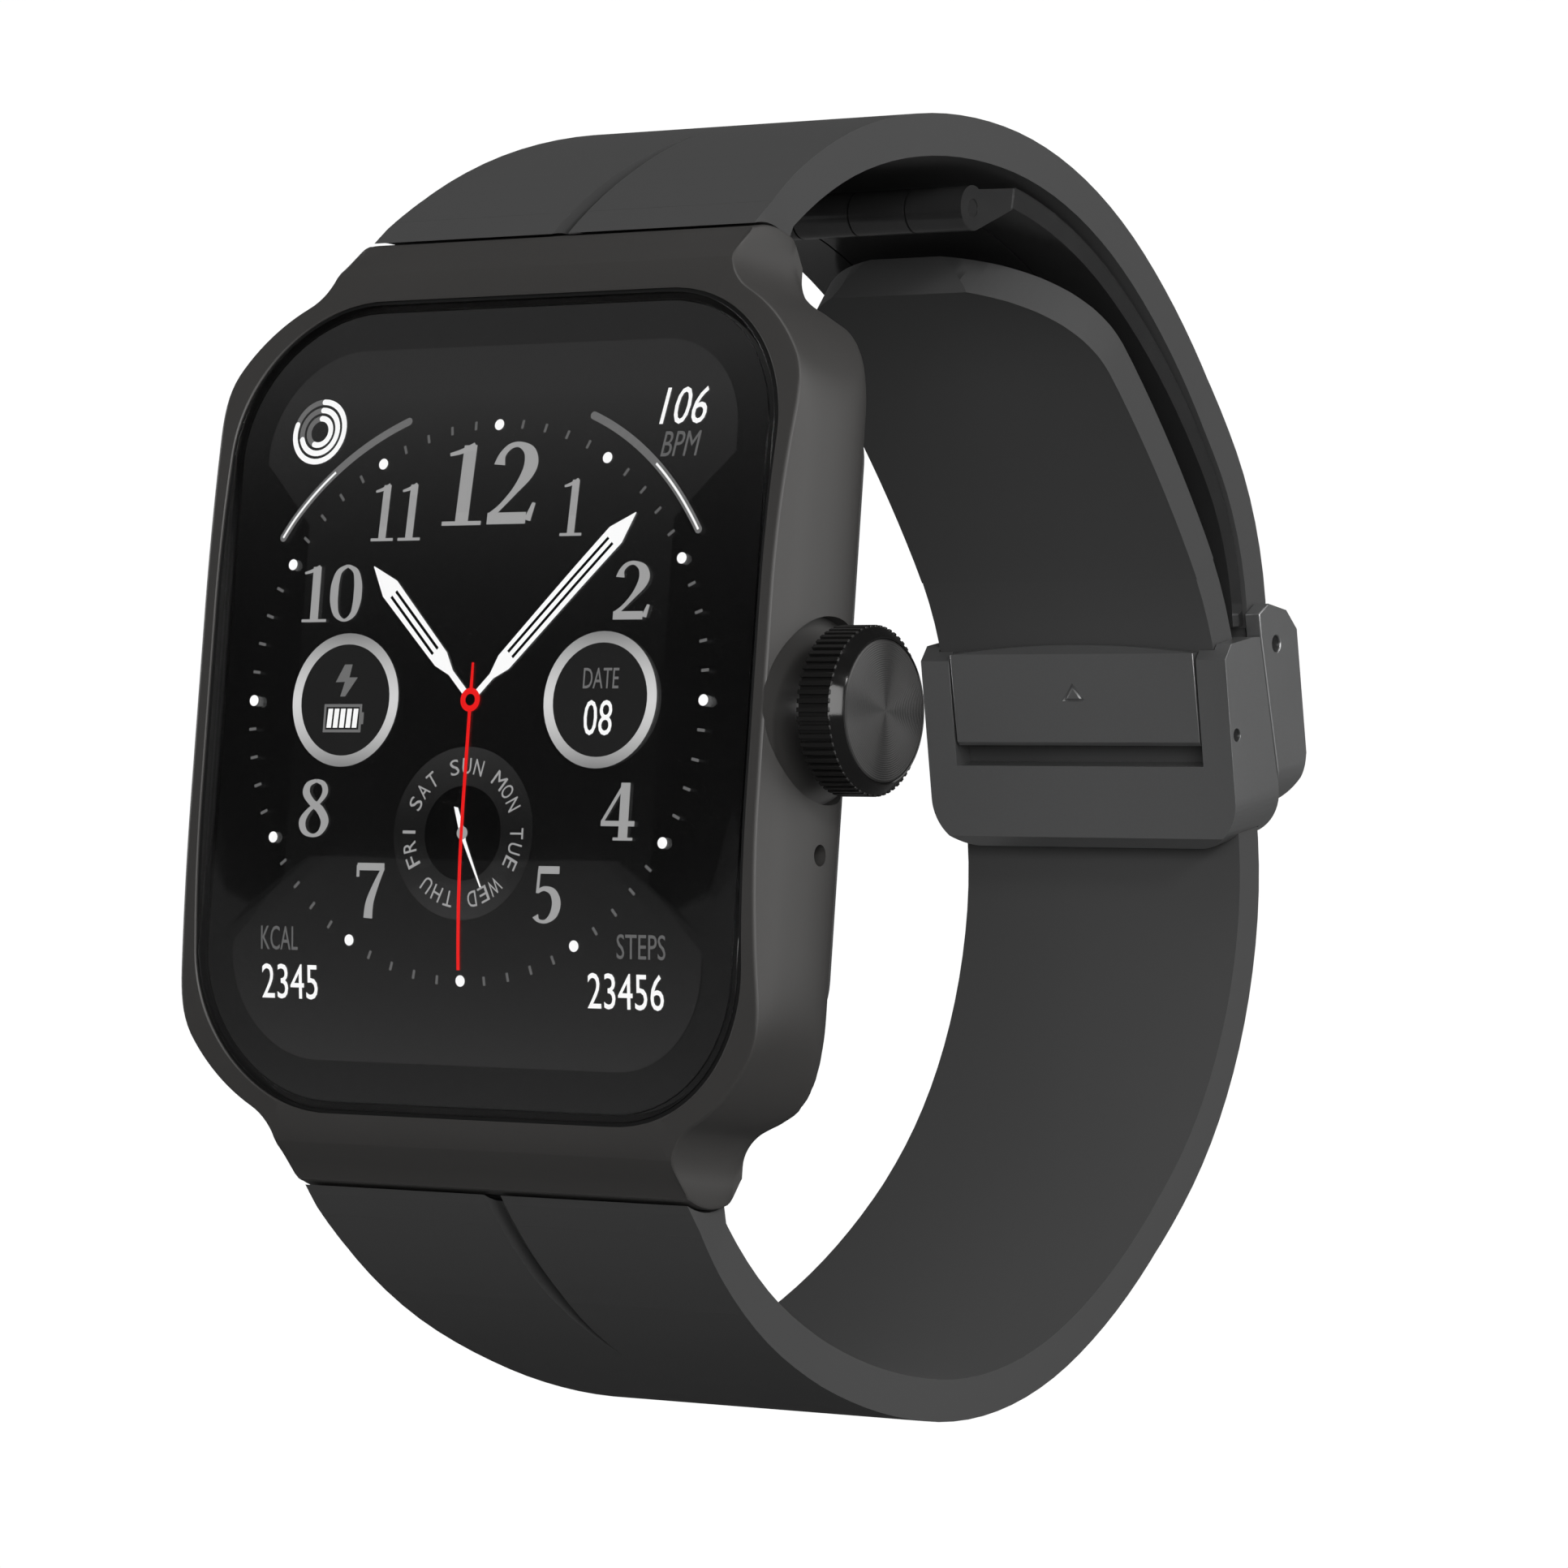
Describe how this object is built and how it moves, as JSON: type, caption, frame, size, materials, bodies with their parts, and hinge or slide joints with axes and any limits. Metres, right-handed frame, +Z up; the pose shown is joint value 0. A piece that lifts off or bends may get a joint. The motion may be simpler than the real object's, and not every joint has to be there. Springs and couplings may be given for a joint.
{
  "type": "smartwatch",
  "caption": "Square smartwatch with a domed glass, a knurled turning crown, a rubber strap and a folding clasp with a flip latch.",
  "frame": {"origin": "middle of the sensor window's flat face on the back of the case, which lies on the wrist", "axes": "+X across the watch to the crown, +Y out of the back into the strap's loop, +Z up to 12 o'clock; the dial faces -Y"},
  "size_m": [0.0413, 0.069, 0.0712],
  "materials": {
    "case_metal": "satin dark gunmetal coating",
    "glass": "polished",
    "seal": "matt",
    "display": "dark display panel",
    "sheet_steel": "plain",
    "battery": "foil pouch",
    "board": "solder mask",
    "inner_plastic": "moulded",
    "gold": "gold plated",
    "leds": "clear",
    "back_plastic": "fine matt",
    "steel": "turned",
    "crown_metal": "satin dark gunmetal coating",
    "strap_rubber": "matt silicone",
    "clasp_metal": "satin black coating",
    "magnet": "nickel plated",
    "blade_steel": "satin black coating"
  },
  "bodies": {
    "case": {"case": "case_metal", "cover_glass": "glass", "glass_gasket": "seal", "display_panel": "display", "display_bracket": "sheet_steel", "battery": "battery", "main_board": "board", "shield_can": "sheet_steel", "vibration_motor": "sheet_steel", "speaker": "inner_plastic", "microphone": "gold", "sensor_board": "board", "sensor_leds": "leds", "back_cover": "back_plastic", "back_gasket": "seal", "sensor_window": "glass", "charge_contacts": "gold", "back_screws": "steel", "crown_tube": "steel", "crown_switch": "inner_plastic", "spring_bar_upper": "steel", "spring_bar_lower": "steel"},
    "crown_slide": {"crown_stem": "steel"},
    "crown": {"crown_head": "crown_metal", "crown_cap": "crown_metal"},
    "upper_strap": {"strap_upper": "strap_rubber", "outer_block": "clasp_metal", "strap_pin": "steel", "outer_magnets": "magnet"},
    "lower_strap": {"strap_lower": "strap_rubber", "inner_block": "clasp_metal", "inner_magnets": "magnet", "latch_pin": "steel", "fork_blade": "blade_steel", "fold_pin": "steel"},
    "latch": {"latch": "clasp_metal"},
    "middle_blade": {"middle_blade": "blade_steel"}
  },
  "joints": [
    {"name": "crown_press", "type": "slide", "parent": "case", "child": "crown_slide", "axis": [-1, 0, 0], "range_m": [0, 0.0005], "stiffness_N_per_m": 2000},
    {"name": "crown_turn", "type": "hinge", "parent": "crown_slide", "child": "crown", "pos_m": [0.0215, -0.0059, 0], "axis": [1, 0, 0], "continuous": true},
    {"name": "upper_strap_swing", "type": "hinge", "parent": "case", "child": "upper_strap", "pos_m": [0, -0.00425, 0.02027], "axis": [1, 0, 0], "range_deg": [0, 28]},
    {"name": "lower_strap_swing", "type": "hinge", "parent": "case", "child": "lower_strap", "pos_m": [0, -0.00425, -0.02027], "axis": [1, 0, 0], "range_deg": [0, 8.4]},
    {"name": "blade_fold", "type": "hinge", "parent": "lower_strap", "child": "middle_blade", "pos_m": [0, 0.0194, 0.0309], "axis": [1, 0, 0], "range_deg": [0, 30.24]},
    {"name": "latch_flip", "type": "hinge", "parent": "lower_strap", "child": "latch", "pos_m": [0, 0.04985, 0.00519], "axis": [1, 0, 0], "range_deg": [0, 75]}
  ],
  "couplings": [
    {"joint": "lower_strap_swing", "follows": "upper_strap_swing", "ratio": 0.3},
    {"joint": "blade_fold", "follows": "upper_strap_swing", "ratio": 1.08}
  ]
}
